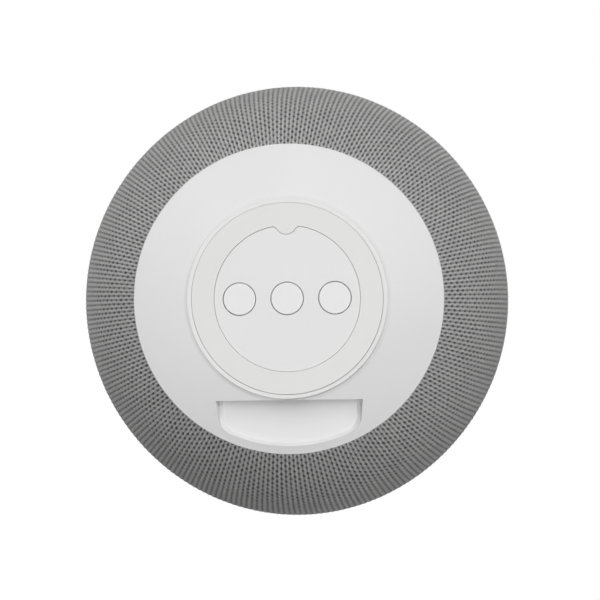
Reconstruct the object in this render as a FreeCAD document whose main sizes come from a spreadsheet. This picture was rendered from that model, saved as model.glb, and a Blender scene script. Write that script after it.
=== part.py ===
import FreeCAD, Part

import math
import os

import Sketcher
from FreeCAD import Placement, Rotation, Vector

# A ball-shaped smart speaker: knitted skin over a slotted shell, a flat-footed plastic base with a
# cable bay at the back, touch-sized buttons on top, and one full-range driver facing forwards.
# Millimetres. +Z is up, the ball's vertical axis is Z, the front faces -Y and z = 0 is the table.

DIMENSIONS = {
    # ball and skin
    "ball_radius": 50.0,
    "ball_z": 42.4,
    "skin_thickness": 1.0,
    "skin_gap": 0.1,
    "shell_thickness": 1.8,
    # base
    "base_radius": 33.6,
    "base_top": 5.4,
    "plinth_z": 0.15,
    "plinth_radius": 21.6,
    "plinth_round": 0.3,
    "plinth_foot_radius": 22.2,
    "plinth_foot_z": 0.75,
    "cap_curve": 100.0,
    "floor_top": 1.9,
    "spigot_radius": 29.5,
    "spigot_wall": 1.6,
    "spigot_top": 9.5,
    # foot ring and its tab
    "foot_inner": 15.65,
    "foot_outer": 20.5,
    "foot_round": 0.12,
    "foot_gap": 0.06,
    "groove_top": 1.0,
    "tab_half": 2.3,
    "tab_reach": 13.7,
    "tab_flare": 1.2,
    # screw plugs and base screws
    "plug_radius": 3.42,
    "plug_gap": 0.17,
    "plug_thickness": 1.2,
    "plug_pitch": 10.2,
    "boss_radius": 4.7,
    "boss_top": 6.8,
    "screw_head_room": 2.9,
    "screw_shank_room": 1.7,
    # cable bay and inlet
    "bay_wall_y": 21.9,
    "bay_half": 16.4,
    "bay_radius": 32.1,
    "bay_ceiling": 5.4,
    "bay_side": 1.2,
    "bay_drop": 0.3,
    "bay_bevel": 0.7,
    "bay_corner": 3.8,
    "bay_slope": 2.9,
    "bay_skin": 1.2,
    "inlet_width": 8.6,
    "inlet_height": 2.8,
    "inlet_z": 3.75,
    "socket_width": 8.94,
    "socket_height": 3.26,
    "socket_length": 7.35,
    "socket_wall": 0.3,
    "tongue_width": 6.69,
    "tongue_length": 5.0,
    "tongue_thickness": 0.7,
    "usb_post_x": 6.2,
    "usb_post_y": 14.2,
    # chassis
    "chassis_radius": 33.4,
    "chassis_z": 10.2,
    "chassis_thickness": 1.8,
    # top controls
    "top_opening": 18.5,
    "ring_outer": 18.3,
    "ring_inner": 16.9,
    "plate_radius": 16.7,
    "plate_thickness": 1.8,
    "plate_skirt": 1.5,
    "plate_round": 0.25,
    "plate_post_circle": 6.0,
    "plate_post_height": 7.8,
    "frame_screw_circle": 20.4,
    "mic_circle": 12.6,
    "lamp_circle": 17.4,
    "button_radius": 4.0,
    "button_gap": 0.18,
    "button_place": 9.5,
    "button_proud": 0.3,
    "button_flange": 4.7,
    "button_flange_z": 87.2,
    "button_travel": 0.4,
    "top_board_z": 82.0,
    "top_board_thickness": 1.0,
    "switch_height": 1.5,
    # driver, measured forwards from the ball's vertical axis
    "driver_z": 43.0,
    "flange_radius": 24.1,
    "flange_front": 36.9,
    "cone_radius": 17.2,
    "cone_front": 35.9,
    "coil_radius": 6.6,
    "flange_screw_circle": 22.4,
    # driver box, measured the same way
    "box_radius": 27.5,
    "box_wall": 2.2,
    "box_front": 37.0,
    "box_joint": 14.0,
    "box_back": -15.0,
    "gasket_thickness": 0.6,
    "baffle_opening": 20.7,
    "baffle_back": 34.0,
    "baffle_front": 35.5,
    "ear_circle": 29.6,
    "ear_radius": 2.6,
    "ear_length": 6.0,
    "screw_pilot": 0.95,
    # main board, measured backwards from the ball's vertical axis
    "board_y": 18.2,
    "board_thickness": 1.2,
    "board_width": 54.0,
    "board_height": 44.0,
    "sink_y": 22.2,
    "sink_thickness": 1.2,
    "post_x": 20.5,
    "post_z": 14.5,
}

SHELL_ROWS = (-29, -10, 9, 28)
SHELL_HOLES_PER_ROW = 20
SHELL_HOLE_RADIUS = 3.4
SHELL_HOLE_START = 42.0
LED_COUNT = 12
FIN_COUNT = 6
FIN_SPREAD = 34.0
BOARD_TOP = "(top_board_z + top_board_thickness)"

doc = FreeCAD.newDocument("smart_speaker")
sheet = doc.addObject("Spreadsheet::Sheet", "dims")
for row, (alias, size) in enumerate(DIMENSIONS.items(), start=1):
    sheet.set(f"A{row}", alias)
    sheet.set(f"B{row}", str(size))
    sheet.setAlias(f"B{row}", alias)
doc.recompute()

FORWARDS = Rotation(Vector(1, 0, 0), 90)  # turns a piece's own Z to the front, -Y
UPRIGHT = Rotation()

subparts = []


# ---------------------------------------------------------------- helpers


def cells(expression):
    """The expression with each dimension's alias pointed at the sheet."""
    words = []
    word = ""
    for letter in str(expression) + " ":
        if letter.isalnum() or letter == "_" or (word and letter == "."):
            word += letter
            continue
        words.append("dims." + word if word in DIMENSIONS else word)
        words.append(letter)
        word = ""
    return "".join(words).strip()


def number(expression):
    """The expression's present value, in millimetres or degrees."""
    return float(sheet.evalExpression(str(expression)))


def bind(thing, **sizes):
    """Tie properties of an object to expressions over the sheet."""
    for prop, expression in sizes.items():
        thing.setExpression(prop, cells(expression))
    return thing


def place(thing, x=0, y=0, z=0, turn=UPRIGHT):
    """Give an object its Placement, each coordinate an expression."""
    thing.Placement = Placement(Vector(number(x), number(y), number(z)), turn)
    for axis, expression in zip("xyz", (x, y, z)):
        if isinstance(expression, str):
            thing.setExpression(f"Placement.Base.{axis}", cells(expression))
    return thing


def cylinder(name, radius, height, x=0, y=0, z=0, turn=UPRIGHT):
    thing = bind(doc.addObject("Part::Cylinder", name), Radius=radius, Height=height)
    return place(thing, x, y, z, turn)


def box(name, length, width, height, x=0, y=0, z=0):
    thing = doc.addObject("Part::Box", name)
    bind(thing, Length=length, Width=width, Height=height)
    return place(thing, x, y, z)


def ball(name, radius):
    seam_aside = Rotation(Vector(0, 0, 1), 45)
    return place(bind(doc.addObject("Part::Sphere", name), Radius=radius), z="ball_z", turn=seam_aside)


def joined(name, *pieces):
    thing = doc.addObject("Part::MultiFuse", name)
    thing.Shapes = list(pieces)
    return thing


def shared(name, *pieces):
    thing = doc.addObject("Part::MultiCommon", name)
    thing.Shapes = list(pieces)
    return thing


def cut(name, base, *tools):
    thing = doc.addObject("Part::Cut", name)
    thing.Base = base
    thing.Tool = tools[0] if len(tools) == 1 else joined(name + "_tools", *tools)
    return thing


def group(name, *pieces):
    """Several separate solids kept as one object."""
    thing = doc.addObject("Part::Compound", name)
    thing.Links = list(pieces)
    return thing


def copies(name, source, spots, turn=UPRIGHT):
    """Linked copies of one piece, grouped, at places given as (x, y, z)."""
    links = []
    for index, (x, y, z) in enumerate(spots):
        link = doc.addObject("App::Link", f"{name}_{index}")
        link.LinkedObject = source
        links.append(place(link, x, y, z, turn))
    return group(name, *links)


def bowed_edge(start, end, radius, side):
    """An arc from start to end that bulges left (+1) or right (-1) of the way it runs."""
    half = (end - start) * 0.5
    left = Vector(-half.y, half.x, 0).normalize()
    centre = start + half - left * side * math.sqrt(radius**2 - half.Length**2)
    first, last = (end, start) if side > 0 else (start, end)
    angles = [math.atan2(p.y - centre.y, p.x - centre.x) for p in (first, last)]
    circle = Part.Circle(centre, Vector(0, 0, 1), radius)
    arc = Part.ArcOfCircle(circle, angles[0], angles[1])
    return (arc, 2, 1) if side > 0 else (arc, 1, 2)


def pin_corner(sketch, edge, end, across, up):
    """Hold one corner of a sketch at its two coordinates."""
    for kind, axis, expression in (("DistanceX", -2, across), ("DistanceY", -1, up)):
        if expression == 0:
            sketch.addConstraint(Sketcher.Constraint("PointOnObject", edge, end, axis))
            continue
        size = number(expression)
        rule = Sketcher.Constraint(kind, -1, 1, edge, end, size)
        index = sketch.addConstraint(rule)
        sketch.setExpression(f"Constraints[{index}]", cells(expression))


def outlined(body, plane, outline):
    """A closed sketch on one of the body's own planes.

    The outline's corners are (across, up), or (across, up, radius, side) where the edge that
    leaves the corner is an arc.
    """
    sketch = body.newObject("Sketcher::SketchObject", body.Name + "_outline")
    support = [f for f in body.Origin.OriginFeatures if f.Role == plane][0]
    sketch.AttachmentSupport = [(support, "")]
    sketch.MapMode = "FlatFace"
    corners = [Vector(number(c[0]), number(c[1]), 0) for c in outline]
    ends = []
    for index, corner in enumerate(outline):
        start, end = corners[index], corners[(index + 1) % len(corners)]
        if len(corner) == 2:
            ends.append((sketch.addGeometry(Part.LineSegment(start, end)), 1, 2))
            continue
        arc, first, last = bowed_edge(start, end, number(corner[2]), corner[3])
        edge = sketch.addGeometry(arc)
        ends.append((edge, first, last))
        rule = sketch.addConstraint(Sketcher.Constraint("Radius", edge, number(corner[2])))
        sketch.setExpression(f"Constraints[{rule}]", cells(corner[2]))
    for index, (edge, first, _) in enumerate(ends):
        before, _, last = ends[index - 1]
        sketch.addConstraint(Sketcher.Constraint("Coincident", before, last, edge, first))
        pin_corner(sketch, edge, first, *outline[index][:2])
    return sketch


def turned(name, outline):
    """A body turned about its own Z axis from an outline of (radius, height) corners."""
    body = doc.addObject("PartDesign::Body", name)
    sketch = outlined(body, "XZ_Plane", outline)
    turn = body.newObject("PartDesign::Revolution", name + "_turn")
    turn.Profile = sketch
    turn.ReferenceAxis = (sketch, ["V_Axis"])
    turn.Angle = 360
    return body


def extruded(name, plane, outline, length):
    """A body padded from an outline on one of its planes."""
    body = doc.addObject("PartDesign::Body", name)
    pad = body.newObject("PartDesign::Pad", name + "_pad")
    pad.Profile = outlined(body, plane, outline)
    bind(pad, Length=length)
    return body


def rounded(name, base, radius, chosen):
    """A fillet on the edges of base for which chosen(edge) is true."""
    doc.recompute()
    picked = [i for i, edge in enumerate(base.Shape.Edges, start=1) if chosen(edge)]
    thing = doc.addObject("Part::Fillet", name)
    thing.Base = base
    thing.Edges = [(index, radius, radius) for index in picked]
    return thing


def around(count, radius, first=0.0):
    """(x, y) places spaced evenly on a circle."""
    angles = [math.radians(first + 360.0 * step / count) for step in range(count)]
    return [(radius * math.cos(a), radius * math.sin(a)) for a in angles]


def cross_spots(circle):
    """Four places on a named circle, on the piece's own axes."""
    return around(4, number(circle))


def corner_spots(circle):
    """Four places on a named circle, between the piece's own axes."""
    return around(4, number(circle), 45)


def bent_path(points, radii):
    """Straight runs through the points, joined by tangent arcs of the given radii."""
    edges = []
    here = points[0]
    for before, corner, after, radius in zip(points, points[1:], points[2:], radii):
        back = (before - corner).normalize()
        ahead = (after - corner).normalize()
        half_turn = (math.pi - back.getAngle(ahead)) / 2
        reach = radius * math.tan(half_turn)
        start, end = corner + back * reach, corner + ahead * reach
        inwards = (back + ahead).normalize()
        middle = corner + inwards * (radius / math.cos(half_turn) - radius)
        edges.append(Part.LineSegment(here, start).toShape())
        edges.append(Part.Arc(start, middle, end).toShape())
        here = end
    edges.append(Part.LineSegment(here, points[-1]).toShape())
    return Part.Wire(edges)


def widest_radii(points, share=0.45):
    """For each inner point the arc radius that its two runs allow."""
    radii = []
    for before, corner, after in zip(points, points[1:], points[2:]):
        run = min((corner - before).Length, (after - corner).Length)
        half_turn = (math.pi - (before - corner).getAngle(after - corner)) / 2
        radii.append(share * run / math.tan(half_turn))
    return radii


def swept(name, points, section):
    """A wire or flat lead: one section carried along the rounded route."""
    path = bent_path(points, widest_radii(points))
    solid = path.makePipeShell([section], True, False)
    thing = doc.addObject("Part::Feature", name)
    thing.Shape = solid
    expected = Part.Face(section).Area * path.Length
    radii = ", ".join(f"{r:.1f}" for r in widest_radii(points))
    print(f"{name}: length {path.Length:.1f}, volume {solid.Volume:.1f} of {expected:.1f}, radii {radii}")
    return thing


def wire_section(point, direction, radius):
    return Part.Wire(Part.Circle(point, direction, radius).toShape())


def subpart(label, thing):
    """Keep a finished piece under the name of its file."""
    thing.Label = label
    subparts.append(thing)
    return thing


def on_driver_axis(thing, forwards=0):
    """Stand a turned piece on the driver's axis, its own Z to the front."""
    y = f"-({forwards})" if isinstance(forwards, str) else -forwards
    return place(thing, y=y, z="driver_z", turn=FORWARDS)


def sphere_z(radius, across):
    """Height of a sphere about the ball's centre at a distance from the axis."""
    return f"ball_z + sqrt(({radius})^2 - ({across})^2)"


def sphere_r(radius, height):
    """Distance from the axis at which that sphere has a given height."""
    return f"sqrt(({radius})^2 - (ball_z - ({height}))^2)"


# ---------------------------------------------------------------- base


def foot_shape(name, grow, height):
    """The foot's flat ring with a flared tab at the front, grown sideways by a clearance."""
    across = f"tab_half + {grow}"
    outer = cylinder(name + "_outer", f"foot_outer + {grow}", height)
    inner = cylinder(name + "_inner", f"foot_inner - ({grow})", height)
    tab = cylinder(name + "_tab", across, height, 0, "-tab_reach - tab_half", 0)
    ring = joined(name + "_whole", cut(name + "_band", outer, inner), tab)
    return rounded(name + "_flared", ring, number(f"tab_flare - {grow}"), is_tab_corner)


def is_tab_corner(edge):
    """The upright edges where the tab leaves the ring's inner wall."""
    upright = abs(edge.BoundBox.XLength) + abs(edge.BoundBox.YLength) < 0.001
    return upright and 0.5 < abs(edge.CenterOfMass.x) < number("tab_half + 1")


def lies_on_table(edge):
    return edge.BoundBox.ZMax < 0.001


def make_base_cover():
    rim = 0.3
    outer = turned("base_solid", [
        (0, "plinth_z"),
        ("plinth_radius - plinth_round", "plinth_z", "plinth_round", -1),
        ("plinth_radius", "plinth_z + plinth_round"),
        ("plinth_foot_radius", "plinth_foot_z", "cap_curve", -1),
        (f"base_radius - {rim}", "base_top - 0.65", rim, -1),
        ("base_radius", f"base_top - 0.65 + {rim}"),
        ("base_radius", "base_top"),
        ("spigot_radius", "base_top"),
        ("spigot_radius", "spigot_top"),
        (0, "spigot_top"),
    ])
    hollow = turned("base_hollow", [
        (0, "floor_top"),
        ("plinth_radius - 0.5", "floor_top"),
        ("plinth_radius + 0.8", "floor_top + 1.2"),
        ("spigot_radius - spigot_wall", "base_top - 0.6"),
        ("spigot_radius - spigot_wall", "spigot_top + 1"),
        (0, "spigot_top + 1"),
    ])
    bay_roof = box(
        "bay_roof", "2 * (bay_half + bay_skin)", "20", "bay_ceiling + bay_skin",
        "-bay_half - bay_skin", "bay_wall_y - bay_skin", 0,
    )
    shell = cut("base_shell", outer, cut("base_room", hollow, bay_roof))

    bosses = [
        cylinder(f"boss_{i}", "boss_radius", "boss_top - 1.5", f"{i} * plug_pitch", 0, 1.5)
        for i in (-1, 0, 1)
    ]
    board_posts = [
        cylinder(f"board_post_{i}", 1.4, "base_top - 1.6", f"{i} * usb_post_x", "usb_post_y", 1.6)
        for i in (-1, 1)
    ]
    body = joined("base_body", shell, *bosses, *board_posts)

    tools = [make_bay_space(), make_inlet_hole(), foot_shape("groove", "foot_gap", "groove_top")]
    for i in (-1, 0, 1):
        x = f"{i} * plug_pitch"
        seat = "plinth_z + plug_thickness + 0.1"
        tools.append(cylinder(f"plug_seat_{i}", "plug_radius + plug_gap", seat, x, 0, 0))
        tools.append(cylinder(f"head_room_{i}", "screw_head_room", 3, x, 0, 1.4))
        tools.append(cylinder(f"shank_room_{i}", "screw_shank_room", 6, x, 0, 2))
    tools += [cylinder(f"board_pilot_{i}", 0.6, 3, f"{i} * usb_post_x", "usb_post_y", 2.9)
              for i in (-1, 1)]
    return subpart("base_cover", cut("base_cover_cut", body, *tools))


def bay_outline(inset, drop):
    """Corner points of the bay's D, pulled in by inset at its sides and back."""
    half = f"(bay_half - ({inset}))"
    reach = f"(bay_radius - ({drop}))"
    side_y = f"(sqrt({reach}^2 - {half}^2) - bay_corner * 0.58)"
    back_x = f"({half} - bay_corner * 0.6)"
    back_y = f"sqrt({reach}^2 - {back_x}^2)"
    return [
        (f"-{half}", "bay_wall_y"),
        (half, "bay_wall_y"),
        (half, side_y, "bay_corner", -1),
        (back_x, back_y, reach, -1),
        (f"-{back_x}", back_y, "bay_corner", -1),
        (f"-{half}", side_y),
    ]


def make_bay_space():
    """The cable bay: a D-shaped hollow with steep sides, a bevel and a slightly sloping ceiling."""
    body = doc.addObject("PartDesign::Body", "bay_space")
    levels = [
        ("0", "0", "0"),
        ("bay_ceiling - bay_bevel", "bay_side", "bay_drop"),
        ("bay_ceiling", "bay_side + bay_bevel", "bay_drop + bay_bevel"),
    ]
    sections = []
    for height, inset, drop in levels:
        section = outlined(body, "XY_Plane", bay_outline(inset, drop))
        section.AttachmentOffset = Placement(Vector(0, 0, number(height)), UPRIGHT)
        section.setExpression("AttachmentOffset.Base.z", cells(height))
        sections.append(section)
    loft = body.newObject("PartDesign::AdditiveLoft", "bay_loft")
    loft.Profile = sections[0]
    loft.Sections = sections[1:]
    loft.Ruled = True
    tilt = Rotation(Vector(1, 0, 0), -number("bay_slope"))
    hinge = Vector(0, number("bay_wall_y"), number("bay_ceiling"))
    body.Placement = Placement(Vector(), tilt, hinge)
    return body


def make_inlet_hole():
    half = "(inlet_width / 2 - inlet_height / 2)"
    radius = "inlet_height / 2"
    slot = extruded("inlet_slot", "XZ_Plane", [
        (f"-{half}", f"-{radius}"),
        (half, f"-{radius}", radius, -1),
        (f"{half} + {radius}", 0, radius, -1),
        (half, radius),
        (f"-{half}", radius, radius, -1),
        (f"-{half} - {radius}", 0, radius, -1),
    ], "6")
    return place(slot, 0, "bay_wall_y + 3", "inlet_z")


def make_foot_ring():
    ring = foot_shape("foot", "0", "groove_top")
    soft = rounded("foot_soft", ring, number("foot_round"), lies_on_table)
    return subpart("foot_ring", soft)


def make_plugs():
    edge = 0.12
    for side, name in ((-1, "plug_left"), (0, "plug_centre"), (1, "plug_right")):
        plug = turned(name + "_body", [
            (0, 0),
            (f"plug_radius - {edge}", 0),
            ("plug_radius", edge),
            ("plug_radius", "plug_thickness"),
            (0, "plug_thickness"),
        ])
        subpart(name, place(plug, f"{side} * plug_pitch", 0, "plinth_z"))


def screw(name, head_radius, head_height, shank_radius, shank_length):
    """A pan-head screw that points along its own +Z, with a shallow cross recess."""
    blank = turned(name + "_blank", [
        (0, 0),
        (head_radius * 0.8, 0),
        (head_radius, head_height * 0.4),
        (head_radius, head_height),
        (shank_radius, head_height),
        (shank_radius, head_height + shank_length - shank_radius * 0.6),
        (shank_radius * 0.4, head_height + shank_length),
        (0, head_height + shank_length),
    ])
    arm, width, depth = head_radius * 1.1, head_radius * 0.24, head_height * 0.5
    cross = [
        box(name + "_cross_x", arm, width, depth, -arm / 2, -width / 2, -0.01),
        box(name + "_cross_y", width, arm, depth, -width / 2, -arm / 2, -0.01),
    ]
    return cut(name, blank, *cross)


def make_base_screws():
    source = screw("base_screw", 2.6, 1.8, 1.4, 6.4)
    spots = [(f"{i} * plug_pitch", 0, 2.6) for i in (-1, 0, 1)]
    return subpart("base_screws", copies("base_screw_set", source, spots))


def make_usb():
    half = "(socket_width / 2 - socket_height / 2)"
    radius = "socket_height / 2"

    def stadium(name, wall, length):
        r = f"({radius} - {wall})"
        return extruded(name, "XZ_Plane", [
            (f"-{half}", f"-{r}"),
            (half, f"-{r}", r, -1),
            (f"{half} + {r}", 0, r, -1),
            (half, r),
            (f"-{half}", r, r, -1),
            (f"-{half} - {r}", 0, r, -1),
        ], length)

    outer = stadium("socket_outer", "0", "socket_length")
    mouth = "bay_wall_y - bay_skin - 0.02"
    place(outer, 0, mouth, "inlet_z")
    inner = place(stadium("socket_inner", "socket_wall", "socket_length - 1"),
                  0, f"{mouth} + 0.01", "inlet_z")
    subpart("usb_socket", cut("usb_socket_cut", outer, inner))
    tongue = box("usb_tongue_box", "tongue_width", "tongue_length", "tongue_thickness",
                 "-tongue_width / 2", "bay_wall_y - 7.2", "inlet_z - tongue_thickness / 2")
    subpart("usb_tongue", tongue)
    board = box("usb_board_plate", 17.0, 9.6, 1.0, -8.5, 11.0, "base_top + 0.02")
    holes = [cylinder(f"usb_board_hole_{i}", 0.9, 2, f"{i} * usb_post_x", "usb_post_y", "base_top - 0.5")
             for i in (-1, 1)]
    subpart("usb_board", cut("usb_board_cut", board, *holes))
    source = screw("usb_screw", 1.4, 0.9, 0.55, 3.2)
    spots = [(f"{i} * usb_post_x", "usb_post_y", "base_top + 1.94") for i in (-1, 1)]
    subpart("usb_board_screws",
            copies("usb_screw_set", source, spots, Rotation(Vector(1, 0, 0), 180)))


def make_chassis():
    plate = cylinder("chassis_plate", "chassis_radius", "chassis_thickness", 0, 0, "chassis_z")
    bosses = [cylinder(f"chassis_boss_{i}", 4.4, "chassis_z - boss_top",
                       f"{i} * plug_pitch", 0, "boss_top + 0.1") for i in (-1, 0, 1)]
    saddle = [box(f"saddle_{i}", 3, 36, 14, i * 13.5 - 1.5, -27, "chassis_z + 1")
              for i in (-1, 1)]
    pilots = [cylinder(f"chassis_pilot_{i}", 1.5, 4.4, f"{i} * plug_pitch", 0, "boss_top")
              for i in (-1, 0, 1)]
    bed = cylinder("saddle_bed", "box_radius + 0.1", 90, 0, 45, "driver_z", FORWARDS)
    lead_slot = box("lead_slot", 12, 7, 6, -17, 19, "chassis_z - 2")
    body = joined("chassis_body", plate, *bosses, *saddle)
    return subpart("chassis", cut("chassis_cut", body, bed, lead_slot, *pilots))


# ---------------------------------------------------------------- skin


def make_shell_frame():
    outside = "ball_radius - skin_thickness - skin_gap"
    inside = f"{outside} - shell_thickness"
    foot = "base_top + 0.5"
    rim = "top_opening + 4.5"
    ball_shell = turned("shell_body", [
        (sphere_r(inside, foot), foot),
        (sphere_r(outside, foot), foot, outside, -1),
        (rim, sphere_z(outside, rim)),
        (rim, sphere_z(inside, rim), inside, 1),
    ])
    holes = []
    for row, height in enumerate(SHELL_ROWS):
        for step in range(SHELL_HOLES_PER_ROW):
            spin = 360.0 * (step + 0.5 * (row % 2)) / SHELL_HOLES_PER_ROW
            aim = Rotation(Vector(0, 0, 1), spin).multiply(Rotation(Vector(0, 1, 0), 90 - height))
            start = aim.multVec(Vector(0, 0, SHELL_HOLE_START))
            holes.append(cylinder(f"sound_hole_{row}_{step}", SHELL_HOLE_RADIUS, 12,
                                  start.x, start.y, f"ball_z + {start.z:.4f}", aim))
    return subpart("grille_frame", cut("shell_cut", ball_shell, group("sound_holes", *holes)))


def make_fabric_sleeve():
    outside = "ball_radius"
    inside = "(ball_radius - skin_thickness)"
    hem = "base_top + 0.08"
    return subpart("fabric_sleeve", turned("sleeve_body", [
        (sphere_r(inside, hem), hem),
        (sphere_r(outside, hem), hem, outside, -1),
        ("top_opening", sphere_z(outside, "top_opening")),
        ("top_opening", sphere_z(inside, "top_opening"), inside, 1),
    ]))


# ---------------------------------------------------------------- top controls


def make_top_frame():
    outside = "(ball_radius - skin_thickness - skin_gap)"
    edge, lip = "top_opening - 0.05", "top_opening + 4.4"
    frame = turned("top_frame_body", [
        (edge, BOARD_TOP),
        (f"{lip} - 0.8", BOARD_TOP),
        (f"{lip} - 0.8", f"{BOARD_TOP} - 2"),
        (f"{lip} + 1.7", f"{BOARD_TOP} - 2"),
        (f"{lip} + 1.7", f"{BOARD_TOP} - 0.8"),
        (lip, f"{BOARD_TOP} - 0.8"),
        (lip, sphere_z(outside, lip), outside, -1),
        (edge, sphere_z(outside, edge)),
    ])
    pilots = [cylinder(f"frame_pilot_{i}", 0.85, 2.6, x, y, f"{BOARD_TOP} - 0.2")
              for i, (x, y) in enumerate(cross_spots("frame_screw_circle"))]
    return subpart("top_frame", cut("top_frame_cut", frame, *pilots))


def make_control_plate():
    inside = "(ball_radius - plate_thickness)"
    skirt = "plate_radius - plate_skirt"
    shoulder = "plate_radius - plate_round"
    skirt_foot = f"{BOARD_TOP} + 1.6"
    plate = turned("plate_body", [
        (skirt, sphere_z(inside, skirt)),
        (skirt, skirt_foot),
        ("plate_radius", skirt_foot),
        ("plate_radius", sphere_z("ball_radius", "plate_radius") + " - plate_round"),
        (shoulder, sphere_z("ball_radius", shoulder), "ball_radius", -1),
        (0, "ball_z + ball_radius"),
        (0, f"ball_z + {inside}", inside, 1),
    ])
    below, through = f"{BOARD_TOP} + 1", 12
    posts = [cylinder(f"plate_post_{i}", 1.6, "plate_post_height", x, y, BOARD_TOP)
             for i, (x, y) in enumerate(corner_spots("plate_post_circle"))]
    tools = [cylinder(f"plate_pilot_{i}", 0.85, 4, x, y, f"{BOARD_TOP} - 0.5")
             for i, (x, y) in enumerate(corner_spots("plate_post_circle"))]
    tools += [cylinder(f"button_hole_{i}", "button_radius + button_gap", through, x, y, below)
              for i, (x, y) in enumerate(cross_spots("button_place"))]
    tools += [cylinder(f"sound_pin_{i}", 0.45, through, x, y, below)
              for i, (x, y) in enumerate(corner_spots("mic_circle"))]
    return subpart("control_plate", cut("plate_cut", joined("plate_joined", plate, *posts), *tools))


def make_light_ring():
    sunk = "(ball_radius - 0.1)"
    return subpart("light_ring", turned("light_body", [
        ("ring_inner", f"{BOARD_TOP} + 1.2"),
        ("ring_outer", f"{BOARD_TOP} + 1.2"),
        ("ring_outer", sphere_z(sunk, "ring_outer"), sunk, -1),
        ("ring_inner", sphere_z(sunk, "ring_inner")),
    ]))


BUTTONS = {
    "volume_up_button": (1, 0),
    "volume_down_button": (-1, 0),
    "action_button": (0, -1),
    "mic_mute_button": (0, 1),
}


def make_buttons():
    stem_foot = f"{BOARD_TOP} + switch_height + button_travel + 0.05"

    def is_top_rim(edge):
        return edge.BoundBox.ZMax > number("button_flange_z") + 2 and len(edge.Vertexes) == 1

    for name, (side, depth) in BUTTONS.items():
        x, y = f"{side} * button_place", f"{depth} * button_place"
        column = cylinder(name + "_column", "button_radius", 10, x, y, "button_flange_z")
        dome = ball(name + "_dome", "ball_radius + button_proud")
        key = rounded(name + "_key", shared(name + "_top", column, dome), 0.3, is_top_rim)
        flange = cylinder(name + "_flange", "button_flange", 0.8, x, y, "button_flange_z")
        stem = cylinder(name + "_stem", 1.2, f"button_flange_z - ({stem_foot}) + 0.4", x, y, stem_foot)
        subpart(name, joined(name + "_joined", key, flange, stem))


def make_top_board():
    screw_spots = corner_spots("plate_post_circle") + cross_spots("frame_screw_circle")
    plate = cylinder("top_board_plate", "top_opening + 3.3", "top_board_thickness", 0, 0, "top_board_z")
    holes = [cylinder(f"top_board_hole_{i}", 1.05, 3, x, y, "top_board_z - 1")
             for i, (x, y) in enumerate(screw_spots)]
    subpart("top_board", cut("top_board_cut", plate, *holes))

    def chips(tag, side, height, spots):
        """Square packages standing on the board."""
        return group(tag + "_set", *[
            box(f"{tag}_{i}", side, side, height, x - side / 2, y - side / 2, BOARD_TOP)
            for i, (x, y) in enumerate(spots)
        ])

    subpart("button_switches", chips("switch", 4.4, "switch_height", cross_spots("button_place")))
    subpart("leds", chips("lamp", 1.3, 0.7, around(LED_COUNT, number("lamp_circle"), 15)))
    subpart("microphones", chips("mic", 2.4, 0.9, corner_spots("mic_circle")))
    source = screw("top_screw", 1.5, 1.0, 0.8, 2.8)
    spots = [(x, y, "top_board_z - 1.02") for x, y in screw_spots]
    subpart("top_screws", copies("top_screw_set", source, spots))


# ---------------------------------------------------------------- driver and its box


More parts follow.
